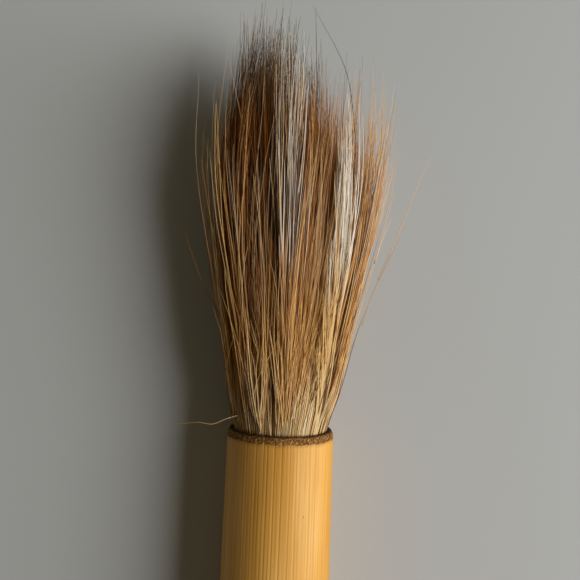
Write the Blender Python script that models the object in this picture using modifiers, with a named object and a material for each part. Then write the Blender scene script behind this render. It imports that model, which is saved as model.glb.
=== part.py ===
"""Calligraphy brush: a bamboo handle with a turned end plug and a bound tuft of animal hair.

The brush lies along Y with its tip towards +Y and rests on z = 0. The origin is under the middle
of its length. The tuft is bound at its root, glued into a socket in the handle's mouth, and bends
at two places, so its locks of hair are in three groups: the root in the handle, the waist above
the mouth and the tip. The two flexing groups meet their neighbours at ball-shaped faces, centred
on the bend, so each can turn without touching the next.
"""
import math

import bmesh
import bpy
from mathutils import Vector

# Handle, a length of bamboo culm (all sizes in metres).
HANDLE_LENGTH = 0.200
HANDLE_RADIUS = 0.0070        # at the mouth, under the chamfer
HANDLE_SWELL = 0.0003         # how much the radius grows from the mouth to the middle
SWELL_LENGTH = 0.045          # where the culm reaches its full radius, from the mouth
CULM_WALL = 0.0025            # from the outside to the bore
CHAMFER_DEPTH = 0.00035       # how far the filed mouth is drawn in
CHAMFER_LENGTH = 0.0010       # its length along the handle
RIM_WALL = 0.00045            # wall left at the very mouth
SOCKET_DEPTH = 0.0140
BUTT_ROUND = 0.0005           # eased edge at the butt

# End plug.
PLUG_HEAD_LENGTH = 0.0080
PLUG_TENON_LENGTH = 0.0090
PLUG_NECK_DEPTH = 0.0008      # groove between the head and the culm
PLUG_FACE_RADIUS = 0.0042     # flat end face
CORD_HOLE_RADIUS = 0.0010
CORD_HOLE_DEPTH = 0.0060

# Bound root of the tuft, inside the socket.
BINDING_START = 0.0040        # from the mouth into the handle
BINDING_TURNS = 6
THREAD_RADIUS = 0.00025
THREAD_PITCH = 0.00062
ROOT_LENGTH = 0.0098
SEAL_THICKNESS = 0.0010
COLLAR_LENGTH = 0.0016

# Tuft above the mouth. Distances along it are measured from the mouth.
HAIR_LENGTH = 0.0550
HAIR_START = 0.0010
BELLY_RADIUS = 0.0118
BELLY_DISTANCE = 0.0360
TIP_RADIUS = 0.0055
SPREAD_POWER = 1.3            # above 1, the hair leaves the mouth nearly straight
FLATTENING = 0.80             # height of the tuft over its width, where it lies spread
FLAT_DISTANCE = 0.0200        # where it has taken that shape
TUFT_LIFT = 0.0002            # the lowest hair over the surface
CORE_SHARE = 0.42             # radius of the inner core over that of the tuft
CORE_SHORTFALL = 0.0090       # how much shorter the core is than the longest lock
LOCK_END_SHARE = 0.55         # size of a lock's end over its full section
LOCK_SHORTFALLS = (0.0095, 0.0080, 0.0050, 0.0020, 0.0, 0.0035, 0.0045, 0.0030, 0.0060, 0.0090)

# Where the tuft bends, from the mouth, and the ball-shaped faces there.
WAIST_DISTANCE = 0.0080
TIP_DISTANCE = 0.0290
TIP_BALL_MARGIN = 0.0022      # ball radius over the belly radius

CLEARANCE = 0.0003            # between pieces that touch on the real brush
RIM_CLEARANCE = 0.00005       # between the hair and the mouth's rim, which it nearly fills
THREAD_CLEARANCE = 0.00045    # between the thread's windings and the socket
LOCK_GAP = 0.0004             # between neighbouring locks
BALL_GAP = 0.0004             # between the two ball-shaped faces

# Facets.
TURNED_STEPS = 30             # a facet, not an edge, lies on the surface under the handle
THREAD_STEPS = 16
CORE_STEPS = 20
CROWN_STEPS = 4               # over the rounded edge of the plug
SHARP_ANGLE = 40              # degrees, above which an edge stays sharp

LOCK_COUNT = len(LOCK_SHORTFALLS)
CULM_RADIUS = HANDLE_RADIUS + HANDLE_SWELL
BORE_RADIUS = HANDLE_RADIUS - CULM_WALL
RIM_RADIUS = HANDLE_RADIUS - CHAMFER_DEPTH
SOCKET_RADIUS = RIM_RADIUS - RIM_WALL
HAIR_RADIUS = RIM_RADIUS - RIM_CLEARANCE
AXIS_HEIGHT = CULM_RADIUS * math.cos(math.pi / TURNED_STEPS)
MOUTH_Y = (PLUG_HEAD_LENGTH + HANDLE_LENGTH - HAIR_LENGTH) / 2
BUTT_Y = MOUTH_Y - HANDLE_LENGTH

# The waist turns inside a ball that just clears the socket's edge; the tip has its own ball.
SOCKET_BALL = math.hypot(SOCKET_RADIUS, WAIST_DISTANCE)
WAIST_BALL = SOCKET_BALL - CLEARANCE
TIP_BALL = BELLY_RADIUS + TIP_BALL_MARGIN
ROOT_TOP = SOCKET_BALL - WAIST_DISTANCE + CLEARANCE      # depth of the root's top in the socket
THREAD_CENTRE = SOCKET_RADIUS - THREAD_CLEARANCE - THREAD_RADIUS
NECK_RADIUS = THREAD_CENTRE * math.cos(math.pi / THREAD_STEPS) - THREAD_RADIUS - CLEARANCE


def clear_scene():
    for item in list(bpy.data.objects):
        bpy.data.objects.remove(item, do_unlink=True)


def make_material(name, colour, roughness):
    material = bpy.data.materials.new(name)
    material.use_nodes = True
    shader = material.node_tree.nodes["Principled BSDF"]
    shader.inputs["Base Color"].default_value = (*colour, 1.0)
    shader.inputs["Roughness"].default_value = roughness
    shader.inputs["Metallic"].default_value = 0.0
    return material


def add_piece(name, data, material, parent=None):
    """Put a mesh or curve in the brush's collection as the named piece."""
    piece = bpy.data.objects.new(name, data)
    data.materials.append(material)
    brush.objects.link(piece)
    piece.parent = parent
    return piece


def add_pivot(name, distance, parent=None):
    """Empty on the handle's axis at a distance from the mouth."""
    pivot = bpy.data.objects.new(name, None)
    pivot.empty_display_size = 0.01
    brush.objects.link(pivot)
    pivot.location = (0.0, MOUTH_Y + distance, AXIS_HEIGHT)
    if parent is not None:
        pivot.parent = parent
        pivot.location -= parent.location
    return pivot


def turned(name, profile, material, closed=False):
    """Turned piece from (radius, distance from the mouth) points, running down its outside."""
    mesh = bpy.data.meshes.new(name)
    points = [(radius, 0.0, distance) for radius, distance in profile]
    edges = [(i, i + 1) for i in range(len(points) - 1)]
    if closed:
        edges.append((len(points) - 1, 0))
    mesh.from_pydata(points, edges, [])
    piece = add_piece(name, mesh, material)
    piece.location = (0.0, MOUTH_Y, AXIS_HEIGHT)
    piece.rotation_euler = (-math.pi / 2, 0.0, 0.0)
    screw = piece.modifiers.new("Turn", "SCREW")
    screw.axis = "Z"
    screw.angle = 2 * math.pi
    screw.steps = TURNED_STEPS
    screw.render_steps = TURNED_STEPS
    screw.use_merge_vertices = True
    screw.merge_threshold = 0.00001
    screw.use_smooth_shade = True
    return piece


def loft(name, rings, material, parent):
    """Closed skin over rings of points; the first and last ring are single points."""
    shape = bmesh.new()
    placed = [[shape.verts.new(point) for point in ring] for ring in rings]
    for lower, upper in zip(placed, placed[1:]):
        count = max(len(lower), len(upper))
        for i in range(count):
            j = (i + 1) % count
            if len(lower) == 1:
                shape.faces.new((lower[0], upper[j], upper[i]))
            elif len(upper) == 1:
                shape.faces.new((lower[i], lower[j], upper[0]))
            else:
                shape.faces.new((lower[i], lower[j], upper[j], upper[i]))
    bmesh.ops.recalc_face_normals(shape, faces=shape.faces)
    mesh = bpy.data.meshes.new(name)
    shape.to_mesh(mesh)
    shape.free()
    mesh.shade_smooth()
    mesh.set_sharp_from_angle(angle=math.radians(SHARP_ANGLE))
    return add_piece(name, mesh, material, parent)


def tuft_radius(distance):
    """Half width of the tuft at a distance from the mouth."""
    if distance < BELLY_DISTANCE:
        rise = math.sin(math.pi / 2 * max(distance, 0.0) / BELLY_DISTANCE) ** SPREAD_POWER
        return HAIR_RADIUS + (BELLY_RADIUS - HAIR_RADIUS) * rise
    fall = (distance - BELLY_DISTANCE) / (HAIR_LENGTH - BELLY_DISTANCE)
    return TIP_RADIUS + (BELLY_RADIUS - TIP_RADIUS) * math.cos(math.pi / 2 * min(fall, 1.0))


def core_radius(distance):
    return CORE_SHARE * tuft_radius(distance)


def spread(radius, angle, distance):
    """Point of the round tuft, flattened as it lies: lower on top, cut by the surface below."""
    if math.sin(angle) > 0:
        flat = 1 - (1 - FLATTENING) * min(1.0, max(distance, 0.0) / FLAT_DISTANCE)
        return radius * math.cos(angle), radius * math.sin(angle) * flat
    if radius * math.sin(angle) < TUFT_LIFT - AXIS_HEIGHT:
        radius = (TUFT_LIFT - AXIS_HEIGHT) / math.sin(angle)
    return radius * math.cos(angle), radius * math.sin(angle)


def shrunk(points, share):
    """Points drawn in to their middle."""
    middle = sum((Vector(point) for point in points), Vector((0.0, 0.0))) / len(points)
    return [tuple(middle + (Vector(point) - middle) * share) for point in points]


def lock_section(angle, distance):
    """Outline of a lock across the tuft: outer arc, side, inner arc, side."""
    outer = tuft_radius(distance)
    inner = core_radius(distance) + CLEARANCE
    half = math.pi / LOCK_COUNT

    def corner(radius, share):
        across = angle + share * (half - math.asin(LOCK_GAP / 2 / radius))
        return spread(radius, across, distance)

    points = [corner(outer, share) for share in (-1, -0.5, 0, 0.5, 1)]
    points.append(corner((outer + inner) / 2, 1))
    points += [corner(inner, share) for share in (1, 0, -1)]
    points.append(corner((outer + inner) / 2, -1))
    return points


def core_section(distance):
    radius = core_radius(distance)
    return [spread(radius, 2 * math.pi * i / CORE_STEPS, distance) for i in range(CORE_STEPS)]


def across_tuft(points, distance, pivot):
    """Ring of points straight across the tuft, in the frame of the pivot at that distance."""
    return [(x, distance - pivot, z) for x, z in points]


def on_ball(points, centre, radius, pivot):
    """Ring of points on the near side of a ball centred on the axis."""
    ring = []
    for x, z in points:
        depth = math.sqrt(radius ** 2 - x ** 2 - z ** 2)
        ring.append((x, centre - depth - pivot, z))
    return ring


def ball_cap(points, centre, radius, pivot):
    """Rings from the middle of a ball-shaped face to its edge."""
    return [on_ball(shrunk(points, share), centre, radius, pivot) for share in (0.5, 1.0)]


def joint_distance():
    """Distance from the mouth where the tip's ball comes out through the side of the tuft."""
    distance = TIP_DISTANCE - TIP_BALL / 2
    for _ in range(30):
        distance = TIP_DISTANCE - math.sqrt(TIP_BALL ** 2 - tuft_radius(distance) ** 2)
    return distance


def middle_of(ring):
    return tuple(sum((Vector(point) for point in ring), Vector((0.0, 0.0, 0.0))) / len(ring))


def waist_rings(section):
    """Skin of a waist piece: ball below, hollow ball face above."""
    start, end = section(HAIR_START), section(joint_distance())
    halfway = (HAIR_START + joint_distance()) / 2
    below = ball_cap(start, WAIST_DISTANCE, WAIST_BALL, WAIST_DISTANCE)
    above = ball_cap(end, TIP_DISTANCE, TIP_BALL + BALL_GAP, WAIST_DISTANCE)
    centre_below = on_ball(shrunk(start, 0.0)[:1], WAIST_DISTANCE, WAIST_BALL, WAIST_DISTANCE)
    centre_above = on_ball(shrunk(end, 0.0)[:1], TIP_DISTANCE, TIP_BALL + BALL_GAP, WAIST_DISTANCE)
    side = across_tuft(section(halfway), halfway, WAIST_DISTANCE)
    return [centre_below, *below, side, *reversed(above), centre_above]


def tip_rings(section, length):
    """Skin of a tip piece: ball below, drawn in to a blunt end above."""
    start = section(joint_distance())
    below = ball_cap(start, TIP_DISTANCE, TIP_BALL, TIP_DISTANCE)
    centre_below = on_ball(shrunk(start, 0.0)[:1], TIP_DISTANCE, TIP_BALL, TIP_DISTANCE)
    stations = (TIP_DISTANCE, BELLY_DISTANCE, (BELLY_DISTANCE + length) / 2)
    sides = [across_tuft(section(distance), distance, TIP_DISTANCE) for distance in stations]
    end = across_tuft(shrunk(section(length), LOCK_END_SHARE), length, TIP_DISTANCE)
    return [centre_below, *below, *sides, end, [middle_of(end)]]


def make_handle(material):
    """Culm with a chamfered mouth, a socket for the hair and a bore for the plug."""
    butt = BUTT_Y - MOUTH_Y
    profile = (
        (RIM_RADIUS, 0.0),
        (HANDLE_RADIUS, -CHAMFER_LENGTH),
        (HANDLE_RADIUS + HANDLE_SWELL / 2, -SWELL_LENGTH / 2),
        (CULM_RADIUS, -SWELL_LENGTH),
        (CULM_RADIUS, butt + SWELL_LENGTH),
        (HANDLE_RADIUS, butt + BUTT_ROUND),
        (HANDLE_RADIUS - BUTT_ROUND, butt),
        (BORE_RADIUS, butt),
        (BORE_RADIUS, -SOCKET_DEPTH - (SOCKET_RADIUS - BORE_RADIUS)),
        (SOCKET_RADIUS, -SOCKET_DEPTH),
        (SOCKET_RADIUS, 0.0),
    )
    return turned("bamboo_handle", profile, material, closed=True)


def make_end_plug(material):
    """Turned plug with a tenon in the bore and a small hole in its flat end for a cord."""
    face = BUTT_Y - MOUTH_Y - PLUG_HEAD_LENGTH
    shoulder = BUTT_Y - MOUTH_Y - CLEARANCE
    tenon_radius = BORE_RADIUS - CLEARANCE
    head_radius = HANDLE_RADIUS
    crown = head_radius - PLUG_FACE_RADIUS
    profile = [
        (0.0, shoulder + PLUG_TENON_LENGTH),
        (tenon_radius - BUTT_ROUND, shoulder + PLUG_TENON_LENGTH),
        (tenon_radius, shoulder + PLUG_TENON_LENGTH - BUTT_ROUND),
        (tenon_radius, shoulder),
        (head_radius - PLUG_NECK_DEPTH, shoulder),
        (head_radius - PLUG_NECK_DEPTH, shoulder - PLUG_NECK_DEPTH),
        (head_radius, shoulder - 2 * PLUG_NECK_DEPTH),
    ]
    for i in range(CROWN_STEPS + 1):
        turn = math.pi / 2 * i / CROWN_STEPS
        profile.append((PLUG_FACE_RADIUS + crown * math.cos(turn), face + crown * (1 - math.sin(turn))))
    profile += [
        (CORD_HOLE_RADIUS, face),
        (CORD_HOLE_RADIUS, face + CORD_HOLE_DEPTH),
        (0.0, face + CORD_HOLE_DEPTH),
    ]
    return turned("end_plug", profile, material)


def make_hair_root(material):
    """Root of the hair bundle, drawn in under its binding."""
    open_radius = SOCKET_RADIUS - 2 * CLEARANCE
    binding_end = BINDING_START + (BINDING_TURNS + 1) * THREAD_PITCH
    profile = (
        (0.0, -ROOT_TOP),
        (open_radius - CLEARANCE, -ROOT_TOP),
        (open_radius, -ROOT_TOP - CLEARANCE),
        (NECK_RADIUS, -BINDING_START + THREAD_PITCH),
        (NECK_RADIUS, -binding_end),
        (NECK_RADIUS - CLEARANCE, -ROOT_TOP - ROOT_LENGTH),
        (0.0, -ROOT_TOP - ROOT_LENGTH),
    )
    return turned("hair_root", profile, material)


def make_binding_thread(material):
    """Thread wound round the root of the bundle."""
    curve = bpy.data.curves.new("binding_thread", "CURVE")
    curve.dimensions = "3D"
    curve.bevel_depth = THREAD_RADIUS
    curve.bevel_resolution = 2
    curve.use_fill_caps = True
    count = BINDING_TURNS * THREAD_STEPS + 1
    winding = curve.splines.new("POLY")
    winding.points.add(count - 1)
    for i, point in enumerate(winding.points):
        turn = 2 * math.pi * i / THREAD_STEPS
        depth = BINDING_START + THREAD_PITCH * (0.5 + i / THREAD_STEPS)
        point.co = (THREAD_CENTRE * math.cos(turn), -depth, THREAD_CENTRE * math.sin(turn), 1.0)
    piece = add_piece("binding_thread", curve, material)
    piece.location = (0.0, MOUTH_Y, AXIS_HEIGHT)
    return piece


def make_root_seal(material):
    """Disc of rosin that seals the cut ends of the hair."""
    top = -ROOT_TOP - ROOT_LENGTH - CLEARANCE
    radius = SOCKET_RADIUS - 2 * CLEARANCE
    profile = (
        (0.0, top),
        (radius, top),
        (radius, top - SEAL_THICKNESS),
        (0.0, top - SEAL_THICKNESS),
    )
    return turned("root_seal", profile, material)


def make_glue_collar(material):
    """Ring of glue between the root and the socket wall, behind the binding."""
    bottom = -ROOT_TOP - ROOT_LENGTH
    outer = SOCKET_RADIUS - CLEARANCE
    inner = NECK_RADIUS + CLEARANCE
    profile = (
        (outer, bottom + COLLAR_LENGTH),
        (outer, bottom),
        (inner, bottom),
        (inner, bottom + COLLAR_LENGTH),
    )
    return turned("glue_collar", profile, material, closed=True)


def make_tuft(waist_pivot, tip_pivot, core_hair, lock_hairs):
    """Core and ring of locks, each as a waist piece and a tip piece."""
    loft("waist_core", waist_rings(core_section), core_hair, waist_pivot)
    loft("tip_core", tip_rings(core_section, HAIR_LENGTH - CORE_SHORTFALL), core_hair, tip_pivot)
    for i, shortfall in enumerate(LOCK_SHORTFALLS):
        angle = 2 * math.pi * i / LOCK_COUNT

        def section(distance, angle=angle):
            return lock_section(angle, distance)

        hair = lock_hairs[i % len(lock_hairs)]
        loft(f"waist_lock_{i + 1:02d}", waist_rings(section), hair, waist_pivot)
        loft(f"tip_lock_{i + 1:02d}", tip_rings(section, HAIR_LENGTH - shortfall), hair, tip_pivot)


clear_scene()
brush = bpy.data.collections.new("calligraphy_brush")
bpy.context.scene.collection.children.link(brush)

make_handle(make_material("bamboo", (0.70, 0.42, 0.15), 0.45))
make_end_plug(make_material("turned_wood", (0.30, 0.12, 0.05), 0.40))
make_hair_root(make_material("root_hair", (0.62, 0.50, 0.33), 0.60))
make_binding_thread(make_material("thread", (0.75, 0.68, 0.52), 0.80))
make_root_seal(make_material("rosin", (0.25, 0.10, 0.03), 0.25))
make_glue_collar(make_material("glue", (0.55, 0.36, 0.14), 0.30))

waist_flex = add_pivot("waist_flex", WAIST_DISTANCE)
tip_flex = add_pivot("tip_flex", TIP_DISTANCE, waist_flex)
golden_hair = make_material("golden_hair", (0.52, 0.30, 0.13), 0.55)
brown_hair = make_material("brown_hair", (0.25, 0.09, 0.02), 0.55)
pale_hair = make_material("pale_hair", (0.70, 0.60, 0.46), 0.55)
make_tuft(waist_flex, tip_flex, pale_hair, (golden_hair, brown_hair, golden_hair, pale_hair, brown_hair))
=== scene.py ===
import math

import bmesh
import bpy
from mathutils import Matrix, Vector, noise


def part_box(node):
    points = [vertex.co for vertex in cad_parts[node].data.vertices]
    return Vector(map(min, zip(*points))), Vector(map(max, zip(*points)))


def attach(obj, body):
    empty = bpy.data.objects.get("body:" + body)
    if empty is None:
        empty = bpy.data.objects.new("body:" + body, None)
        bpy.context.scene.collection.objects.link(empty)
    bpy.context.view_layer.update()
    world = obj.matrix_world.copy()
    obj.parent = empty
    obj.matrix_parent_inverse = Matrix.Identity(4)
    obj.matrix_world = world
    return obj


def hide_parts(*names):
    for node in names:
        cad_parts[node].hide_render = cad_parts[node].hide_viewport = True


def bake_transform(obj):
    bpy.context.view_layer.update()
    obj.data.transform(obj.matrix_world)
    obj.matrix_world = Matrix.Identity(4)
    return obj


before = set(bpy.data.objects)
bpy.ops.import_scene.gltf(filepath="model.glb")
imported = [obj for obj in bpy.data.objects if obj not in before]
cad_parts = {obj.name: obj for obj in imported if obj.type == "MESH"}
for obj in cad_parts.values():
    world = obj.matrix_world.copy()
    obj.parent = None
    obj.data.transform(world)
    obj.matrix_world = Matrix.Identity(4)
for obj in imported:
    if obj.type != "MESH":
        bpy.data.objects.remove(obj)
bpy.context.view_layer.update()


# ------------------------------------------------------------------------------------------------
# Bamboo handle
# A straight length of thin culm, scraped clean and waxed. Its mouth is filed back to a short,
# dark chamfer of torn fibres, and its wall is thinned there so that the hair fills the opening.

MM = 0.001
handle_low, handle_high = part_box("bamboo_handle")
CULM_RADIUS = (handle_high[0] - handle_low[0]) / 2
AXIS_Z = (handle_high[2] + handle_low[2]) / 2
MOUTH_Y = handle_high[1]
BUTT_Y = handle_low[1]
MOUTH_RADIUS = 7.0 * MM
RIM_OUTER = 6.68 * MM
RIM_INNER = 6.30 * MM
CHAMFER = 1.0 * MM
CHAMFER_BULGE = 0.10 * MM
CHAMFER_STEPS = 9
SOCKET_RADIUS = 6.2 * MM
SOCKET_DEPTH = 14 * MM
SOCKET_CONE = 1.8 * MM        # the drill's point, from the socket's floor to the bore
BORE_RADIUS = 4.5 * MM
SWELL_LENGTH = 45 * MM
CULM_STEPS = 360
THINNED_DEPTH = 2 * MM        # of the part of the wall that is thinned at the mouth
RIM_ROUND = 0.3 * MM
RIM_FLARE = 0.08 * MM
BUTT_BEVEL = 0.6 * MM
BUTT_EDGE = 0.15 * MM
SHARP_ANGLE = 50

# Relief of the culm: ridges along it, and torn fibres on its filed mouth.
RIDGE_HEIGHT = 0.03 * MM
RIDGE_RATE = 9
FINE_RIDGE_HEIGHT = 0.012 * MM
FINE_RIDGE_RATE = 38
TORN_HEIGHT = 0.05 * MM
TORN_LENGTH = 0.03 * MM
TORN_RATE = 40
TORN_STEP = 0.2 * MM

# Colours of the culm: the size of its flecks across the fibres, then its bands at the mouth, among
# them a line of painted shadow along the lip.
RIBS = 94                     # fibre bundles that show as fine ridges around the culm
RIB_SWAY = 7                  # radians of a rib's turn by which it wanders
FIBRE = 0.55 * MM
FINE_FIBRE = 0.22 * MM
PATCH = 5 * MM
SPECK = 0.5 * MM
TORN_FIBRE = 0.14 * MM
SWAY = 2.2 * MM
FILED_EDGE = 0.04 * MM
STAIN_LENGTH = 0.5 * MM
LIP_SHADOW_LENGTH = 0.26 * MM
TORN_RAGGEDNESS = 0.35 * MM
SWAY_RAGGEDNESS = 0.5 * MM
FIBRE_RELIEF = 0.05 * MM


def srgb(red, green, blue):
    """Linear colour from the 0 to 255 values that a swatch book gives."""
    return tuple((value / 255) ** 2.2 for value in (red, green, blue)) + (1.0,)


class Wire:
    """An output in a node tree. Arithmetic on it adds Math nodes."""

    def __init__(self, tree, output):
        self.tree = tree
        self.output = output

    @classmethod
    def node(cls, tree, kind, settings=None, inputs=None, output=0):
        """Add a node: its settings first, then the values or wires of its inputs."""
        added = tree.nodes.new(kind)
        for name, value in (settings or {}).items():
            if name == "stops":
                cls.set_stops(added.color_ramp, value)
            elif name == "points":
                cls.set_points(added.mapping, value)
            elif name == "captured":
                for item in value:
                    added.capture_items.new("FLOAT", item)
            else:
                setattr(added, name, value)
        cls.connect(added, inputs or {})
        return cls(tree, added.outputs[output]) if len(added.outputs) else None

    @staticmethod
    def connect(target, inputs):
        """Give a node's inputs their values or wires."""
        for name, value in inputs.items():
            if isinstance(value, Wire):
                value.tree.links.new(value.output, target.inputs[name])
            else:
                target.inputs[name].default_value = value

    @staticmethod
    def set_stops(ramp, stops):
        """Give a colour ramp its (place, colour) stops."""
        while len(ramp.elements) < len(stops):
            ramp.elements.new(1.0)
        for element, (place, colour) in zip(ramp.elements, stops):
            element.position = place
            element.color = colour

    @staticmethod
    def set_points(mapping, points):
        """Give a float curve its (x, y) points."""
        curve = mapping.curves[0]
        while len(curve.points) < len(points):
            curve.points.new(1.0, 1.0)
        for point, place in zip(curve.points, points):
            point.location = place
        mapping.update()

    def other(self, output):
        """Another output of the node that this wire leaves."""
        return Wire(self.tree, self.output.node.outputs[output])

    def split(self):
        """The three numbers of a vector."""
        first = Wire.node(self.tree, "ShaderNodeSeparateXYZ", inputs={0: self})
        return [first.other(i) for i in range(3)]

    def math(self, operation, *values):
        """Math node on the values."""
        inputs = dict(enumerate(values))
        return Wire.node(self.tree, "ShaderNodeMath", {"operation": operation}, inputs)

    def __add__(self, other):
        return self.math("ADD", self, other)

    def __sub__(self, other):
        return self.math("SUBTRACT", self, other)

    def __rsub__(self, other):
        return self.math("SUBTRACT", other, self)

    def __mul__(self, other):
        return self.math("MULTIPLY", self, other)

    def __truediv__(self, other):
        return self.math("DIVIDE", self, other)

    def __pow__(self, other):
        return self.math("POWER", self, other)

    def __lt__(self, other):
        return self.math("LESS_THAN", self, other)

    __radd__ = __add__
    __rmul__ = __mul__

    def at_least(self, other):
        return self.math("MAXIMUM", self, other)

    def at_most(self, other):
        return self.math("MINIMUM", self, other)

    def sine(self):
        return self.math("SINE", self)

    def cosine(self):
        return self.math("COSINE", self)

    def smooth(self, low, high):
        """0 below low, 1 above high, and an eased step between them."""
        settings = {"interpolation_type": "SMOOTHSTEP"}
        inputs = {"Value": self, "From Min": low, "From Max": high}
        return Wire.node(self.tree, "ShaderNodeMapRange", settings, inputs)

    def mixed(self, first, second):
        """Number between two others, with this wire as the factor."""
        return first + (second - first) * self

    def colours(self, first, second):
        """Colour between two others, with this wire as the factor."""
        inputs = {0: self, 6: first, 7: second}
        return Wire.node(self.tree, "ShaderNodeMix", {"data_type": "RGBA"}, inputs, 2)

    def ramp(self, *stops):
        """Colour from (place, colour) stops, with this wire as the place."""
        return Wire.node(self.tree, "ShaderNodeValToRGB", {"stops": stops}, {0: self})


def new_material(name):
    """Empty material, its tree and its surface shader."""
    material = bpy.data.materials.new(name)
    material.use_nodes = True
    tree = material.node_tree
    return material, tree, tree.nodes["Principled BSDF"]


def vector(tree, x, y, z=0.0):
    return Wire.node(tree, "ShaderNodeCombineXYZ", inputs={0: x, 1: y, 2: z})


def object_axes(tree):
    """The three Object coordinates."""
    return Wire.node(tree, "ShaderNodeTexCoord", output="Object").split()


def twisted(axes, rate):
    """The same coordinates, turned about the brush's axis by so many radians a metre."""
    across, along, up = axes
    height, turn = up - AXIS_Z, along * rate
    cosine, sine = turn.cosine(), turn.sine()
    return [across * cosine - height * sine, along, across * sine + height * cosine]


def grain(tree, axes, pitch, stretch, detail=3.0):
    """Noise drawn out along the brush: pitch is the size of a fleck across the fibres."""
    place = vector(tree, axes[0], axes[1] / stretch, axes[2])
    inputs = {"Vector": place, "Scale": 1 / pitch, "Detail": detail}
    return Wire.node(tree, "ShaderNodeTexNoise", inputs=inputs)


def bump(height, strength, distance):
    inputs = {"Height": height, "Strength": strength, "Distance": distance}
    return Wire.node(height.tree, "ShaderNodeBump", inputs=inputs)


def make_bamboo():
    material, tree, shader = new_material("waxed_bamboo")
    axes = object_axes(tree)
    along = axes[1]
    fibres = grain(tree, axes, FIBRE, 90)
    fine = grain(tree, axes, FINE_FIBRE, 60)
    patches = grain(tree, axes, PATCH, 6, detail=2.0)
    specks = grain(tree, axes, SPECK, 2.5, detail=1.0)
    torn = grain(tree, twisted(axes, 1 / MOUTH_RADIUS), TORN_FIBRE, 2.4, detail=2.0)
    sway = grain(tree, axes, SWAY, 40, detail=2.0)

    around = axes[0].math("ARCTAN2", axes[0], axes[2] - AXIS_Z) * RIBS + sway * RIB_SWAY
    groove = around.sine().smooth(-0.6, 1.0) * fibres.smooth(0.30, 0.66)
    skin = patches.ramp(
        (0.25, srgb(202, 142, 50)), (0.5, srgb(223, 165, 76)), (0.75, srgb(237, 187, 105)))
    # The grooves between the ribs are darker: partly the fibres' own colour, partly painted shade.
    skin = (groove * 0.31).colours(skin, srgb(158, 98, 26))
    skin = (fine.smooth(0.45, 0.75) * 0.42).colours(skin, srgb(176, 118, 48))
    skin = (specks.smooth(0.80, 0.84) * 0.9).colours(skin, srgb(84, 44, 12))

    # The chamfer's lower edge is ragged, and the skin below it is stained.
    ragged = along + (torn - 0.5) * TORN_RAGGEDNESS + (sway - 0.5) * SWAY_RAGGEDNESS
    edge = MOUTH_Y - CHAMFER
    filed = ragged.smooth(edge - FILED_EDGE, edge + FILED_EDGE)
    stained = ragged.smooth(edge - STAIN_LENGTH, edge) * 0.35
    skin = stained.colours(skin, srgb(120, 72, 22))
    fray = torn.ramp(
        (0.38, srgb(84, 50, 14)), (0.50, srgb(120, 78, 30)), (0.60, srgb(160, 114, 56)),
        (0.70, srgb(214, 180, 118)))
    surface = filed.colours(skin, fray)
    # A thin band of painted shadow darkens the lip of the mouth, where the hair meets the rim.
    lip_shadow = along.smooth(MOUTH_Y - LIP_SHADOW_LENGTH, MOUTH_Y - FILED_EDGE)
    surface = (lip_shadow * 0.85).colours(surface, srgb(50, 28, 8))

    relief = fine * 0.4 - groove * 0.75 + torn * filed * 2.0
    Wire.connect(shader, {
        "Base Color": surface,
        "Roughness": 0.50 + fine * 0.14 + filed * 0.3,
        "Normal": bump(relief, 0.6, FIBRE_RELIEF),
        "Specular IOR Level": 0.35,
    })
    return material


def add_object(name, data):
    """Object at the origin, linked to the scene."""
    added = bpy.data.objects.new(name, data)
    bpy.context.scene.collection.objects.link(added)
    return added


def piece_from(made, name):
    """Object from a bmesh, with its faces turned outwards and shaded smooth."""
    bmesh.ops.recalc_face_normals(made, faces=made.faces)
    mesh = bpy.data.meshes.new(name)
    made.to_mesh(mesh)
    made.free()
    mesh.shade_smooth()
    return add_object(name, mesh)


def revolve(name, profile, steps, shape=None):
    """Piece turned about the brush's axis from (radius, y) points.

    The profile either starts and ends on the axis or is closed on itself.
    """
    made = bmesh.new()
    rings = []
    for radius, y in profile:
        ring = []
        for i in range(steps if radius > 0 else 1):
            angle = 2 * math.pi * i / steps
            out, level = shape(radius, y, angle) if shape else (radius, y)
            place = (out * math.cos(angle), level, AXIS_Z + out * math.sin(angle))
            ring.append(made.verts.new(place))
        rings.append(ring)
    pairs = list(zip(rings, rings[1:]))
    if len(rings[0]) > 1:
        pairs.append((rings[-1], rings[0]))
    for upper, lower in pairs:
        for i in range(steps):
            corners = [ring[k % len(ring)] for ring, k in (
                (upper, i), (upper, (i + 1) % steps), (lower, (i + 1) % steps), (lower, i))]
            made.faces.new(list(dict.fromkeys(corners)))
    piece = piece_from(made, name)
    piece.data.set_sharp_from_angle(angle=math.radians(SHARP_ANGLE))
    return piece


def culm_radius(y):
    """Outer radius of the culm: full in the middle, less towards both ends."""
    from_end = min(MOUTH_Y - CHAMFER - y, y - BUTT_Y, SWELL_LENGTH)
    swell = math.sin(math.pi / 2 * from_end / SWELL_LENGTH)
    return MOUTH_RADIUS + (CULM_RADIUS - MOUTH_RADIUS) * swell


def culm_surface(radius, y, angle):
    """Natural ridges along the culm, and torn fibres on the filed mouth. The bore stays smooth."""
    if radius < MOUTH_RADIUS * 0.9:
        return radius, y
    around = Vector((math.cos(angle), math.sin(angle), 0.0))
    if y < MOUTH_Y - CHAMFER * 1.3:
        ridges = noise.noise(around * RIDGE_RATE) * RIDGE_HEIGHT
        ridges += noise.noise(around * FINE_RIDGE_RATE) * FINE_RIDGE_HEIGHT
        return radius - RIDGE_HEIGHT + ridges, y
    torn = noise.noise(Vector((around.x * TORN_RATE, around.y * TORN_RATE, y / TORN_STEP)))
    return radius - RIDGE_HEIGHT + torn * TORN_HEIGHT, y + torn * TORN_LENGTH


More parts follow.
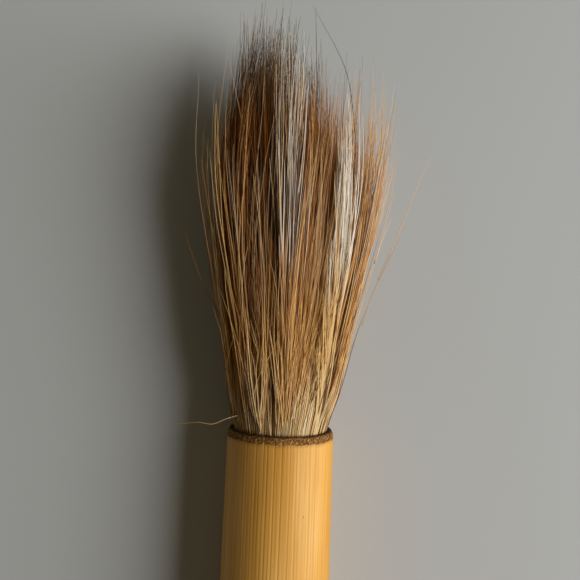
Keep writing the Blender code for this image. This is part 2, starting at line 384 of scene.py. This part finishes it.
def make_handle():
    profile = []
    for i in range(CHAMFER_STEPS + 1):
        share = i / CHAMFER_STEPS
        bulge = CHAMFER_BULGE * math.sin(math.pi * share)
        radius = RIM_OUTER + (MOUTH_RADIUS - RIM_OUTER) * share + bulge
        profile.append((radius, MOUTH_Y - CHAMFER * share))
    levels = [MOUTH_Y - depth * MM for depth in (1.12, 1.4, 3, 6, 10, 16, 24, 34, 46)]
    levels += [BUTT_Y + height * MM for height in (46, 30, 16, 8, 3, 0.6)]
    profile += [(culm_radius(level), level) for level in levels]
    profile += [
        (MOUTH_RADIUS - BUTT_EDGE, BUTT_Y + BUTT_EDGE),
        (MOUTH_RADIUS - BUTT_BEVEL, BUTT_Y),
        (BORE_RADIUS, BUTT_Y),
        (BORE_RADIUS, MOUTH_Y - SOCKET_DEPTH - SOCKET_CONE),
        (SOCKET_RADIUS, MOUTH_Y - SOCKET_DEPTH),
        (SOCKET_RADIUS, MOUTH_Y - THINNED_DEPTH),
        (RIM_INNER, MOUTH_Y - RIM_ROUND),
        (RIM_INNER + RIM_FLARE, MOUTH_Y),
    ]
    return revolve("bamboo_culm", profile, CULM_STEPS, culm_surface)


culm = make_handle()
culm.data.materials.append(make_bamboo())
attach(culm, "handle")
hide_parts("bamboo_handle")


# ------------------------------------------------------------------------------------------------
# End plug
# Turned from a close-grained dark wood, pushed into the culm's far end by its tenon and glued.
# A groove separates it from the culm, and a small hole in its flat end takes a hanging cord.

plug_low, plug_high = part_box("end_plug")
PLUG_RADIUS = (plug_high[0] - plug_low[0]) / 2
PLUG_END_Y = plug_low[1]
PLUG_FACE_RADIUS = 4.2 * MM
PLUG_STEPS = 96
PLUG_GAP = 0.3 * MM           # from the culm's end to the plug's shoulder
GROOVE = 0.8 * MM             # its depth, its flat width and the radius that leads out of it
GROOVE_STEPS = 8
CROWN_STEPS = 12
CORD_HOLE_RADIUS = 1.0 * MM
CORD_HOLE_DEPTH = 6 * MM
CORD_HOLE_CHAMFER = 0.2 * MM
TENON_RADIUS = 4.2 * MM
TENON_END_Y = plug_high[1]
TENON_CHAMFER = 0.5 * MM
FIGURE = 1.6 * MM
PORE = 0.16 * MM
PORE_RELIEF = 0.04 * MM


def make_plug_wood():
    material, tree, shader = new_material("turned_dark_wood")
    axes = object_axes(tree)
    figure = grain(tree, axes, FIGURE, 8)
    pores = grain(tree, axes, PORE, 10, detail=2.0)
    colour = figure.ramp(
        (0.3, srgb(74, 34, 18)), (0.5, srgb(112, 56, 30)), (0.7, srgb(140, 78, 44)))
    Wire.connect(shader, {
        "Base Color": (pores.smooth(0.55, 0.75) * 0.6).colours(colour, srgb(40, 18, 10)),
        "Roughness": 0.30 + pores * 0.2,
        "Normal": bump(pores, 0.2, PORE_RELIEF),
        "Coat Weight": 0.25,
        "Coat Roughness": 0.2,
    })
    return material


def quarter_turn(steps):
    """Sine and cosine of even steps through a right angle."""
    turns = [math.pi / 2 * i / steps for i in range(steps + 1)]
    return [(math.sin(turn), math.cos(turn)) for turn in turns]


def make_plug():
    shoulder = BUTT_Y - PLUG_GAP
    neck = PLUG_RADIUS - GROOVE
    crown = PLUG_RADIUS - PLUG_FACE_RADIUS
    profile = [
        (0.0, TENON_END_Y),
        (TENON_RADIUS - TENON_CHAMFER, TENON_END_Y),
        (TENON_RADIUS, TENON_END_Y - TENON_CHAMFER),
        (TENON_RADIUS, shoulder),
        (neck, shoulder),
    ]
    profile += [(neck + GROOVE * sine, shoulder - GROOVE - GROOVE * (1 - cosine))
                for sine, cosine in quarter_turn(GROOVE_STEPS)]
    profile += [(PLUG_FACE_RADIUS + crown * cosine, PLUG_END_Y + crown * (1 - sine))
                for sine, cosine in quarter_turn(CROWN_STEPS)]
    profile += [
        (CORD_HOLE_RADIUS + CORD_HOLE_CHAMFER, PLUG_END_Y),
        (CORD_HOLE_RADIUS, PLUG_END_Y + CORD_HOLE_CHAMFER),
        (CORD_HOLE_RADIUS, PLUG_END_Y + CORD_HOLE_DEPTH),
        (0.0, PLUG_END_Y + CORD_HOLE_DEPTH),
    ]
    return revolve("turned_end_plug", profile, PLUG_STEPS)


plug = make_plug()
plug.data.materials.append(make_plug_wood())
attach(plug, "handle")
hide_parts("end_plug")


# ------------------------------------------------------------------------------------------------
# Bound root
# Inside the socket the hair is bound with thread, its cut ends are sealed with rosin, and a ring
# of glue holds it to the wall. None of it shows on a whole brush.

# Node, material, dark and light shade, fleck in mm, its stretch along the brush, and roughness.
ROOT_FINISHES = (
    ("hair_root", "packed_hair", (120, 92, 52), (214, 190, 145), 0.2, 40, 0.55),
    ("binding_thread", "waxed_thread", (170, 150, 110), (226, 212, 176), 0.1, 0.5, 0.7),
    ("root_seal", "rosin", (80, 34, 10), (140, 74, 24), 1.2, 1, 0.25),
    ("glue_collar", "hide_glue", (140, 88, 34), (190, 132, 60), 1.0, 1, 0.3),
)


def make_plain(name, dark, light, pitch, stretch, roughness):
    """Material whose colour runs between two shades with a fibrous or cloudy grain."""
    material, tree, shader = new_material(name)
    figure = grain(tree, object_axes(tree), pitch, stretch)
    Wire.connect(shader, {
        "Base Color": figure.smooth(0.3, 0.7).colours(dark, light),
        "Roughness": roughness + (figure - 0.5) * 0.2,
        "Normal": bump(figure, 0.3, FIBRE_RELIEF),
    })
    return material


for node_name, name, dark, light, pitch, stretch, roughness in ROOT_FINISHES:
    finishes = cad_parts[node_name].data.materials
    finishes.clear()
    finishes.append(make_plain(name, srgb(*dark), srgb(*light), pitch * MM, stretch, roughness))


# ------------------------------------------------------------------------------------------------
# Hair
# Mixed animal hair: pale at the root, golden to red-brown along its length, with locks of silver
# and white. It fills the mouth, spreads to a belly and frays, as a dry, worn brush does.

HAIR_RADIUS = 0.068 * MM
HAIR_REACH = 60 * MM          # length that the colour pattern and the outline curves cover
OUTLINE_WIDTH = 15 * MM       # half width at the top of the outline curves
ROOT_START = -1.6 * MM        # depth of the roots in the socket
LOCK_CUT = 18 * MM            # where each lock changes from its lower to its upper piece
PAST_ALL_TIPS = 1.0           # metres from the mouth, so that nothing is cut off
LOWER_SEGMENTS = 6
UPPER_SEGMENTS = 11
FLOOR_GAP = 0.15 * MM
HAIRS_PER_DISC = 8800         # hairs in the whole mouth at density 1
THICKNESS_RANGE = (0.7, 1.3)  # as shares of the hair's radius
TIP_TAPER = 0.8               # share of a hair's thickness that is lost at its tip
SHORT_HAIR_LOSS = (0.25, 0.70)    # share of its length that a short hair lacks

# Hairs stick together in clumps. The size is a share of the mouth's radius, and the clumps lie in
# layers and drift sideways as they grow.
CLUMP_SIZE = 0.15
CLUMP_PULL = 0.72
CLUMP_GRIP = (0.55, 1.0)      # share of that pull, from hair to hair
CLUMP_TONE_SHARE = 0.35       # how far a clump, and not chance, chooses a hair's tone
CLUMP_LAYER = 2.0 * MM
CLUMP_DRIFT = 1.5 * MM

# Each hair waves a little.
RIPPLE_LENGTH = 26 * MM
RIPPLE_WIDTH = 0.22 * MM
RIPPLE_START = 6.28           # largest phase in radians

# Tones across the colour pattern.
DARK, RED, GOLD, STRAW, SILVER, WHITE = 0.08, 0.26, 0.44, 0.62, 0.80, 0.98
TONE_SPREAD = 0.21            # from hair to hair in a lock
SHORT_TIP_HIGHLIGHT = 0.16        # painted highlight: how much paler the tips of short hairs are, as if their cut ends caught the light
LOWEST_TONE, HIGHEST_TONE = 0.01, 0.98
PATTERN_WIDTH = 0.01          # of one hair, in the colour pattern
COARSENESS = {SILVER: 1.35, WHITE: 1.7}     # the hair without colour is thicker

# Colour of each tone at the root, in the lower part, in the middle and at the tip of the hair.
TONE_COLOURS = (
    (DARK, (150, 104, 50), (96, 48, 10), (66, 36, 6), (66, 60, 46)),
    (RED, (214, 166, 94), (182, 108, 28), (154, 88, 20), (104, 86, 58)),
    (GOLD, (232, 188, 122), (224, 154, 60), (208, 130, 38), (192, 162, 116)),
    (STRAW, (246, 222, 176), (246, 204, 128), (238, 190, 114), (228, 208, 172)),
    (SILVER, (240, 206, 150), (228, 168, 90), (236, 224, 206), (240, 232, 218)),
    (WHITE, (236, 202, 144), (238, 196, 124), (255, 246, 226), (255, 251, 242)),
)

# Where one band of colour gives way to the next, as shares of the pattern's length. Silver hair
# keeps its golden lower part a little further up.
ROOT_TO_LOWER = (0.02, 0.18)
LOWER_TO_MIDDLE = (0.22, 0.44)
MIDDLE_TO_TIP = (0.62, 0.84)
SILVER_FROM, SILVER_TO = (0.70, 0.74), (0.86, 0.90)
SILVER_DELAY = 0.06

# Distances from the mouth, and half width of the tuft there to the left, to the right and above,
# all in mm.
OUTLINE_STATIONS = (0, 2, 5, 12, 18.5, 32, 45, 60)
LEFT_OUTLINE = (6.1, 6.5, 6.9, 7.6, 8.8, 10.0, 8.7, 7.0)
RIGHT_OUTLINE = (6.1, 6.6, 7.4, 8.5, 9.7, 11.5, 11.8, 11.5)
TOP_OUTLINE = (6.1, 6.5, 6.8, 7.1, 7.3, 7.4, 6.2, 4.5)


def outline_points(widths):
    """Points of a float curve for one outline."""
    return [(distance * MM / HAIR_REACH, width * MM / OUTLINE_WIDTH)
            for distance, width in zip(OUTLINE_STATIONS, widths)]


def make_hair_material():
    """Colour by the hair's tone across the pattern and by distance along it."""
    material, tree, shader = new_material("animal_hair")
    pattern = Wire.node(tree, "ShaderNodeUVMap", {"uv_map": "OFBake"})
    tone, along, _ = pattern.split()
    root, lower, middle, tip = [
        tone.ramp(*((row[0], srgb(*row[band])) for row in TONE_COLOURS)) for band in range(1, 5)]
    silver = tone.smooth(*SILVER_FROM) * (1 - tone.smooth(*SILVER_TO))
    colour = along.smooth(*ROOT_TO_LOWER).colours(root, lower)
    colour = (along - silver * SILVER_DELAY).smooth(*LOWER_TO_MIDDLE).colours(colour, middle)
    colour = along.smooth(*MIDDLE_TO_TIP).colours(colour, tip)
    Wire.connect(shader, {
        "Base Color": colour,
        "Roughness": 0.28,
        "Specular IOR Level": 0.8,
        "Coat Weight": 0.18,
        "Coat Roughness": 0.18,
    })

    # Thin hair lets some light through.
    through = Wire.node(tree, "ShaderNodeBsdfTranslucent", inputs={"Color": srgb(206, 140, 62)})
    both = Wire.node(tree, "ShaderNodeMixShader", inputs={
        0: 0.18, 1: Wire(tree, shader.outputs[0]), 2: through})
    Wire.connect(tree.nodes["Material Output"], {"Surface": both})
    return material


def build_hair_tree(finish):
    """Geometry Nodes tree that grows the part of one lock between two distances from the mouth."""
    tree = bpy.data.node_groups.new("grow_lock", "GeometryNodeTree")
    tree.is_modifier = True
    sockets = {
        "NodeSocketInt": ("Count", "Segments", "Seed"),
        "NodeSocketFloat": (
            "Angle From", "Angle To", "Depth From", "Depth To", "Length", "Length Spread",
            "Short Share", "Start", "End", "Thickness", "Main Tone", "Second Tone", "Second Share",
            "Clump", "Fray", "Wander", "Lift", "Sideways"),
    }
    for kind, names in sockets.items():
        for name in names:
            tree.interface.new_socket(name, in_out="INPUT", socket_type=kind)
    tree.interface.new_socket("Geometry", in_out="OUTPUT", socket_type="NodeSocketGeometry")

    def node(kind, settings=None, inputs=None, output=0):
        return Wire.node(tree, kind, settings, inputs, output)

    entry = node("NodeGroupInput").output.node
    given = {socket.name: Wire(tree, socket) for socket in entry.outputs if socket.name}

    line = node("GeometryNodeCurvePrimitiveLine", inputs={"End": (0.0, HAIR_REACH, 0.0)})
    line = node("GeometryNodeResampleCurve",
                inputs={"Curve": line, "Count": given["Segments"] + 1})
    copies = node("GeometryNodeDuplicateElements", {"domain": "SPLINE"},
                  {"Geometry": line, "Amount": given["Count"]}, "Geometry")
    hair = copies.other("Duplicate Index")

    def chance(salt):
        """Number from 0 to 1, its own for each hair."""
        inputs = {"ID": hair, "Seed": given["Seed"] + salt}
        return node("FunctionNodeRandomValue", {"data_type": "FLOAT"}, inputs, 1)

    length = given["Length"] * (1 - given["Length Spread"] * (chance(1) + chance(2)) / 2)
    short = chance(3) < given["Short Share"]
    length = length * (1 - short * chance(4).mixed(*SHORT_HAIR_LOSS))
    share = node("GeometryNodeSplineParameter")
    away = share.mixed(given["Start"], given["End"].at_most(length))
    grown = (away / length).at_least(0.0)

    # Root on the unit disc of the mouth, drawn towards the middle of its clump as it grows.
    turn = chance(5).mixed(given["Angle From"], given["Angle To"])
    depth = chance(6).mixed(given["Depth From"] ** 2, given["Depth To"] ** 2) ** 0.5
    root = [depth * turn.cosine(), depth * turn.sine()]
    clumps = node("ShaderNodeTexVoronoi", {"voronoi_dimensions": "2D"},
                  {"Vector": vector(tree, *root), "Scale": 1 / CLUMP_SIZE, "Randomness": 0.9})
    rolled, middle = clumps.other("Color").split(), clumps.other("Position").split()
    pull = given["Clump"] * grown.smooth(0.0, 0.95) * chance(7).mixed(*CLUMP_GRIP)
    placed = [pull.mixed(root[i], middle[i]) for i in range(2)]

    # Outline of the tuft at that distance.
    reach = away / HAIR_REACH
    left, right, top = [
        OUTLINE_WIDTH * node("ShaderNodeFloatCurve", {"points": outline_points(widths)},
                             {"Value": reach})
        for widths in (LEFT_OUTLINE, RIGHT_OUTLINE, TOP_OUTLINE)]
    wide = placed[0].smooth(-0.3, 0.3).mixed(left, right)
    below = left.at_most(AXIS_Z - FLOOR_GAP)
    high = placed[1].smooth(-0.2, 0.2).mixed(below, top)

    # Place of each point of the hair: clump, outline, wave and fray together.
    phase = away * (2 * math.pi / RIPPLE_LENGTH) + chance(8) * RIPPLE_START
    ripple = phase.sine() * grown * RIPPLE_WIDTH
    drift = (rolled[2] - 0.5) * grown ** 2 * CLUMP_DRIFT
    fray = given["Fray"] * grown ** 3
    wander = given["Wander"] * grown * (chance(14) - 0.5)
    x = placed[0] * wide + ripple + drift + wander
    x = x + (chance(9) - 0.5) * fray + given["Sideways"] * grown ** 2
    layer = (rolled[1] - 0.5) * grown.smooth(0.0, 0.4) * CLUMP_LAYER
    z = placed[1] * high + layer + (chance(10) - 0.5) * fray + given["Lift"] * grown ** 2
    z = z.at_least(FLOOR_GAP - AXIS_Z)
    place = vector(tree, x, away + MOUTH_Y, z + AXIS_Z)

    # Thickness, and the place of each hair in the colour pattern.
    thick = given["Thickness"] * chance(11).mixed(*THICKNESS_RANGE) * (1 - TIP_TAPER * grown ** 3)
    choice = chance(12) * (1 - CLUMP_TONE_SHARE) + rolled[0] * CLUMP_TONE_SHARE
    second = choice < given["Second Share"]
    tone = second.mixed(given["Main Tone"], given["Second Tone"])
    # Short hairs grow paler towards their cut ends, a painted highlight of light catching them.
    tone = tone + (chance(13) - 0.5) * TONE_SPREAD + short * grown ** 3 * SHORT_TIP_HIGHLIGHT
    tone = tone.at_least(LOWEST_TONE).at_most(HIGHEST_TONE)

    # The fields are kept on the lines before these are cut and moved, and the tubes read them.
    kept = node("GeometryNodeCaptureAttribute", {"captured": ("thick", "tone", "reach")},
                {"Geometry": copies, "thick": thick, "tone": tone, "reach": reach}, "Geometry")
    too_short = length < given["Start"] + 1 * MM
    trimmed = node("GeometryNodeDeleteGeometry", {"domain": "CURVE"},
                   {"Geometry": kept, "Selection": too_short})
    shaped = node("GeometryNodeSetPosition", inputs={"Geometry": trimmed, "Position": place})
    circle = node("GeometryNodeCurvePrimitiveCircle", inputs={"Resolution": 3, "Radius": 1.0})
    ring = node("GeometryNodeCaptureAttribute", {"captured": ("around",)},
                {"Geometry": circle, "around": node("GeometryNodeSplineParameter")}, "Geometry")
    tubes = node("GeometryNodeCurveToMesh", inputs={
        "Curve": shaped, "Profile Curve": ring, "Scale": kept.other("thick"), "Fill Caps": True})
    pattern = vector(tree, kept.other("tone") + ring.other("around") * PATTERN_WIDTH,
                     kept.other("reach").at_least(0.0))
    mapped = node("GeometryNodeStoreNamedAttribute", {"data_type": "FLOAT2", "domain": "CORNER"},
                  {"Geometry": tubes, "Name": "OFBake", "Value": pattern})
    smooth = node("GeometryNodeSetShadeSmooth", inputs={"Geometry": mapped})
    real = node("GeometryNodeRealizeInstances", inputs={"Geometry": smooth})
    done = node("GeometryNodeSetMaterial", inputs={"Geometry": real, "Material": finish})
    node("NodeGroupOutput", inputs={0: done})
    return tree


hair_finish = make_hair_material()
hair_tree = build_hair_tree(hair_finish)
socket_names = {item.name: item.identifier for item in hair_tree.interface.items_tree
                if item.in_out == "INPUT"}


def grow(name, **sizes):
    """Run the tree once and return its hair as a plain mesh object."""
    grower = add_object(name, bpy.data.meshes.new(name))
    modifier = grower.modifiers.new("Grow", "NODES")
    modifier.node_group = hair_tree
    for size, value in sizes.items():
        modifier[socket_names[size.replace("_", " ").title()]] = value
    evaluated = grower.evaluated_get(bpy.context.evaluated_depsgraph_get())
    mesh = bpy.data.meshes.new_from_object(evaluated)
    bpy.data.objects.remove(grower, do_unlink=True)
    mesh.name = name
    return add_object(name, mesh)


# Name, angles in degrees from the right over the top, depths as shares of the mouth's radius,
# length in mm and its spread, main tone, second tone and its share, density, then fray, wander,
# lift and sideways in mm, and the share of short hairs.
LOCKS = (
    # The core's dark hair shows among the tips, and deep in the tuft it also darkens the gaps
    # between the outer hairs: partly its own colour, partly painted shade.
    ("core", 0, 360, 0.0, 0.42, 53, 0.5, DARK, RED, 0.5, 0.8, 3, 1.5, 0, -1.5, 0.1),
    ("right_wisps", -18, 12, 0.42, 1.0, 50, 0.5, STRAW, SILVER, 0.3, 0.5, 4, 2.5, 0, 0.5, 0.2),
    ("right_brown", 12, 50, 0.42, 1.0, 43, 0.5, GOLD, DARK, 0.6, 0.7, 3, 2, 0, 0, 0.35),
    ("white_streak", 41, 47, 0.95, 1.0, 44, 0.45, WHITE, STRAW, 0.15, 8, 0.8, 0.6, 3, -1.5, 0.3),
    ("orange", 50, 84, 0.42, 1.0, 50, 0.5, GOLD, RED, 0.6, 1, 2.5, 2, 0.5, 0, 0.35),
    ("silver", 84, 98, 0.86, 1.0, 55, 0.45, SILVER, DARK, 0.3, 1.4, 2.2, 2.4, 1.4, -0.3, 0.15),
    ("centre", 82, 112, 0.42, 0.92, 54, 0.4, RED, GOLD, 0.35, 0.7, 3, 1.5, 0, -0.5, 0.3),
    ("left_dark", 102, 136, 0.42, 1.0, 55.5, 0.32, RED, DARK, 0.32, 0.9, 3.5, 3.5, 0, 0, 0.35),
    ("left_gold", 132, 160, 0.42, 1.0, 55, 0.36, RED, GOLD, 0.52, 0.9, 3, 2.6, 0, 0.8, 0.35),
    ("left_edge", 158, 200, 0.42, 1.0, 44, 0.5, GOLD, STRAW, 0.35, 0.9, 1.6, 1.2, 0, 2.8, 0.3),
    ("under_left", 198, 234, 0.42, 1.0, 45, 0.5, GOLD, RED, 0.5, 0.8, 2, 1, 0, 0, 0.2),
    ("under_middle_left", 234, 270, 0.42, 1.0, 50, 0.5, GOLD, RED, 0.5, 0.8, 2, 1, 0, 0, 0.2),
    ("under_middle_right", 270, 306, 0.42, 1.0, 48, 0.5, GOLD, RED, 0.5, 0.8, 2, 1, 0, 0, 0.2),
    ("under_right", 306, 342, 0.42, 1.0, 43, 0.5, GOLD, STRAW, 0.5, 0.8, 2.5, 1, 0, 0, 0.2),
    ("cover", 62, 118, 0.92, 1.0, 31, 0.5, STRAW, GOLD, 0.65, 1.7, 1.5, 3, 0.9, 0, 0.6),
    ("right_pale", 54, 82, 0.93, 1.0, 46, 0.4, STRAW, GOLD, 0.3, 1.3, 3, 3.5, 1, 0, 0.5),
    ("pale_overlay", 24, 172, 0.94, 1.0, 51, 0.5, GOLD, STRAW, 0.65, 0.6, 4, 4.5, 0.8, 0, 0.3),
)


CAD_LOCK_ANGLES = range(0, 360, 36)     # middles of the ten CAD locks round the CAD core


def cad_nodes(group, name, low, high):
    """CAD nodes of a group that a lock stands for: those in its angles, or the core."""
    if name == "core":
        return [f"{group}_core"]
    return [f"{group}_lock_{i:02d}" for i, angle in enumerate(CAD_LOCK_ANGLES, 1)
            if low <= angle < high]


for number, (name, low, high, inner, outer, length, spread, main, second, share, density, fray,
             wander, lift, sideways, short) in enumerate(LOCKS):
    area = (high - low) / 360 * (outer ** 2 - inner ** 2)
    sizes = {
        "count": round(HAIRS_PER_DISC * area * density),
        "seed": 100 * number,
        "angle_from": math.radians(low),
        "angle_to": math.radians(high),
        "depth_from": inner,
        "depth_to": outer,
        "length": length * MM,
        "length_spread": spread,
        "short_share": short,
        "thickness": HAIR_RADIUS * COARSENESS.get(main, 1),
        "main_tone": main,
        "second_tone": second,
        "second_share": share,
        "clump": CLUMP_PULL,
        "fray": fray * MM,
        "wander": wander * MM,
        "lift": lift * MM,
        "sideways": sideways * MM,
    }
    lower = grow(f"{name}_lower", start=ROOT_START, end=LOCK_CUT, segments=LOWER_SEGMENTS, **sizes)
    upper = grow(f"{name}_upper", start=LOCK_CUT, end=PAST_ALL_TIPS, segments=UPPER_SEGMENTS,
                 **sizes)
    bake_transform(lower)
    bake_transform(upper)
    for piece, group in ((lower, "waist"), (upper, "tip")):
        covered = [node_name for node_name in cad_nodes(group, name, low, high)
                   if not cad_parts[node_name].hide_render]
        if covered:
            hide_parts(*covered)


# ------------------------------------------------------------------------------------------------
# Stray hairs
# A few single hairs have worked loose from the tuft and curve away from it at both sides and over
# its tip.

STRAY_RADIUS = 0.06 * MM
STRAY_STEPS = 28
STRAY_PATTERN_STEP = 0.012    # along the colour pattern, from one ring to the next

# Tone of each hair, then its places in mm: right of the axis, beyond the mouth and above the axis.
LOW_STRAYS = (
    (STRAW, ((-5.4, 2.0, 3.6), (-6.9, 1.6, 4.2), (-8.6, 0.9, 4.4), (-10.5, 1.0, 4.1),
             (-12.6, 0.6, 3.3), (-14.0, 0.5, 2.6))),
    (GOLD, ((-6.6, 10.0, 0.0), (-8.2, 13.6, 0.4), (-11.0, 18.9, 1.0), (-12.5, 22.6, 1.2),
            (-13.6, 25.5, 1.0))),
    (STRAW, ((-3.6, 4.6, 6.4), (-2.9, 7.4, 7.2), (-1.4, 10.6, 7.7), (-0.5, 12.6, 7.9))),
    (STRAW, ((-7.4, 8.0, 3.0), (-6.6, 11.0, 4.6), (-5.5, 15.0, 5.8), (-4.9, 18.0, 6.3))),
    (GOLD, ((10.2, 14.0, 0.5), (11.4, 18.2, 0.6), (13.4, 22.8, 0.8), (15.2, 27.3, 0.8))),
)
HIGH_STRAYS = (
    (STRAW, ((12.0, 20.0, 0.5), (13.6, 24.0, 0.8), (15.0, 27.9, 1.2), (16.8, 33.0, 1.4),
             (18.4, 36.6, 1.0))),
    (STRAW, ((11.4, 22.0, 1.5), (12.4, 26.8, 1.6), (13.4, 32.7, 1.6), (14.3, 39.3, 1.2))),
    (GOLD, ((10.6, 26.0, 1.0), (11.6, 31.0, 1.4), (12.2, 36.7, 1.4), (12.1, 43.4, 1.0))),
    (DARK, ((7.9, 30.0, 3.0), (8.2, 35.4, 3.2), (7.8, 40.7, 3.0), (6.4, 47.3, 2.4),
            (2.1, 55.2, 1.6))),
    (DARK, ((2.5, 36.0, 4.0), (2.9, 43.0, 3.8), (2.7, 49.0, 3.2), (2.4, 54.8, 2.6))),
    (GOLD, ((-9.0, 24.0, 1.5), (-10.4, 28.5, 1.6), (-11.2, 33.0, 1.6), (-11.7, 38.0, 1.2))),
    (STRAW, ((-7.6, 23.0, 3.4), (-8.9, 29.1, 3.2), (-10.2, 33.6, 2.8), (-11.6, 38.2, 2.0))),
    (STRAW, ((-8.4, 19.5, 3.0), (-9.2, 22.4, 3.0), (-10.1, 26.0, 2.6), (-11.0, 29.4, 2.0))),
    (STRAW, ((-5.0, 31.0, 6.0), (-6.2, 38.4, 6.0), (-7.6, 44.2, 5.4), (-9.0, 50.0, 4.6))),
)


def curve_through(points, steps):
    """Places on a smooth curve through the points, the same number between each two."""
    places = [Vector(point) * MM for point in points]
    padded = [2 * places[0] - places[1], *places, 2 * places[-1] - places[-2]]
    curve = []
    for i in range(steps + 1):
        at = i / steps * (len(places) - 1)
        span = min(int(at), len(places) - 2)
        t = at - span
        a, b, c, d = padded[span:span + 4]
        curve.append(0.5 * (2 * b + (c - a) * t + (2 * a - 5 * b + 4 * c - d) * t ** 2
                            + (3 * b - a - 3 * c + d) * t ** 3))
    return curve


def make_strays(name, strays):
    """Three-sided tapering tubes, with their place in the hair's colour pattern."""
    made = bmesh.new()
    pattern = made.loops.layers.uv.new("OFBake")

    def add_face(corners, places):
        """Face with each corner's place in the pattern."""
        for loop, place in zip(made.faces.new(corners).loops, places):
            loop[pattern].uv = place

    for tone, points in strays:
        curve = curve_through(points, STRAY_STEPS)
        rings = []
        for i, spot in enumerate(curve):
            ahead = (curve[min(i + 1, STRAY_STEPS)] - curve[max(i - 1, 0)]).normalized()
            side = ahead.cross(Vector((0, 0, 1))).normalized()
            radius = STRAY_RADIUS * (1 - TIP_TAPER * (i / STRAY_STEPS) ** 3)
            ring = []
            for corner in range(3):
                turn = 2 * math.pi * corner / 3
                offset = (side * math.cos(turn) + ahead.cross(side) * math.sin(turn)) * radius
                ring.append(made.verts.new(spot + offset + Vector((0, MOUTH_Y, AXIS_Z))))
            rings.append(ring)
        start = points[0][1] * MM / HAIR_REACH
        levels = [start + i * STRAY_PATTERN_STEP for i in range(STRAY_STEPS + 1)]
        for ring, level in ((rings[0][::-1], levels[0]), (rings[-1], levels[-1])):
            add_face(ring, ((tone, level), (tone + PATTERN_WIDTH, level),
                            (tone, level + PATTERN_WIDTH)))
        for i in range(STRAY_STEPS):
            for k in range(3):
                j = (k + 1) % 3
                near, far = tone + k * PATTERN_WIDTH, tone + (k + 1) * PATTERN_WIDTH
                add_face((rings[i][k], rings[i][j], rings[i + 1][j], rings[i + 1][k]),
                         ((near, levels[i]), (far, levels[i]),
                          (far, levels[i + 1]), (near, levels[i + 1])))
    piece = piece_from(made, name)
    piece.data.materials.append(hair_finish)
    return piece


stray_low = make_strays("stray_hairs_lower", LOW_STRAYS)
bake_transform(stray_low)
stray_high = make_strays("stray_hairs_upper", HIGH_STRAYS)
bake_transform(stray_high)


# ------------------------------------------------------------------------------------------------
# Studio
# A plain pale table, a large soft window light from the right and a weak, warm fill from the room.
# The camera looks straight down on the tuft and the front end of the handle.

TABLE_REACH = 9
TABLE_COLOUR = srgb(186, 190, 192)
WINDOW_PLACE = Vector((0.50, 0.03, 0.32))
WINDOW_TARGET = Vector((0, 0.08, 0))
WINDOW_SIZE = (0.38, 0.56)
WINDOW_POWER = 4.6
WINDOW_COLOUR = (1.0, 0.98, 0.95)
ROOM_COLOUR = (1.0, 0.84, 0.52, 1.0)
ROOM_STRENGTH = 0.088
CAMERA_Y = MOUTH_Y + 18.2 * MM
CAMERA_X = 0.53 * MM
CAMERA_HEIGHT = 101.9 * MM
CAMERA_ROLL = 2.24
LENS = 47.9
SENSOR_WIDTH = 36
CLIP_START = 5 * MM

table_corners = [(x * TABLE_REACH, y * TABLE_REACH, 0)
                 for x, y in ((-1, -1), (1, -1), (1, 1), (-1, 1))]
table_mesh = bpy.data.meshes.new("table")
table_mesh.from_pydata(table_corners, [], [(0, 1, 2, 3)])
table_finish, _, table_shader = new_material("pale_table")
Wire.connect(table_shader, {"Base Color": TABLE_COLOUR, "Roughness": 0.8})
table_mesh.materials.append(table_finish)
table = add_object("table", table_mesh)

window_data = bpy.data.lights.new("window", "AREA")
window_data.shape = "RECTANGLE"
window_data.size, window_data.size_y = WINDOW_SIZE
window_data.energy = WINDOW_POWER
window_data.color = WINDOW_COLOUR
window = add_object("window", window_data)
window.location = WINDOW_PLACE
window.rotation_euler = (WINDOW_TARGET - WINDOW_PLACE).to_track_quat("-Z", "Y").to_euler()

room = bpy.data.worlds.new("room")
room.use_nodes = True
Wire.connect(room.node_tree.nodes["Background"], {"Color": ROOM_COLOUR, "Strength": ROOM_STRENGTH})
bpy.context.scene.world = room

camera_data = bpy.data.cameras.new("camera")
camera_data.lens = LENS
camera_data.sensor_width = SENSOR_WIDTH
camera_data.clip_start = CLIP_START
camera = add_object("camera", camera_data)
camera.location = (CAMERA_X, CAMERA_Y, AXIS_Z + CAMERA_HEIGHT)
camera.rotation_euler = (0, 0, math.radians(CAMERA_ROLL))
bpy.context.scene.camera = camera
bpy.context.scene.view_settings.view_transform = "Standard"
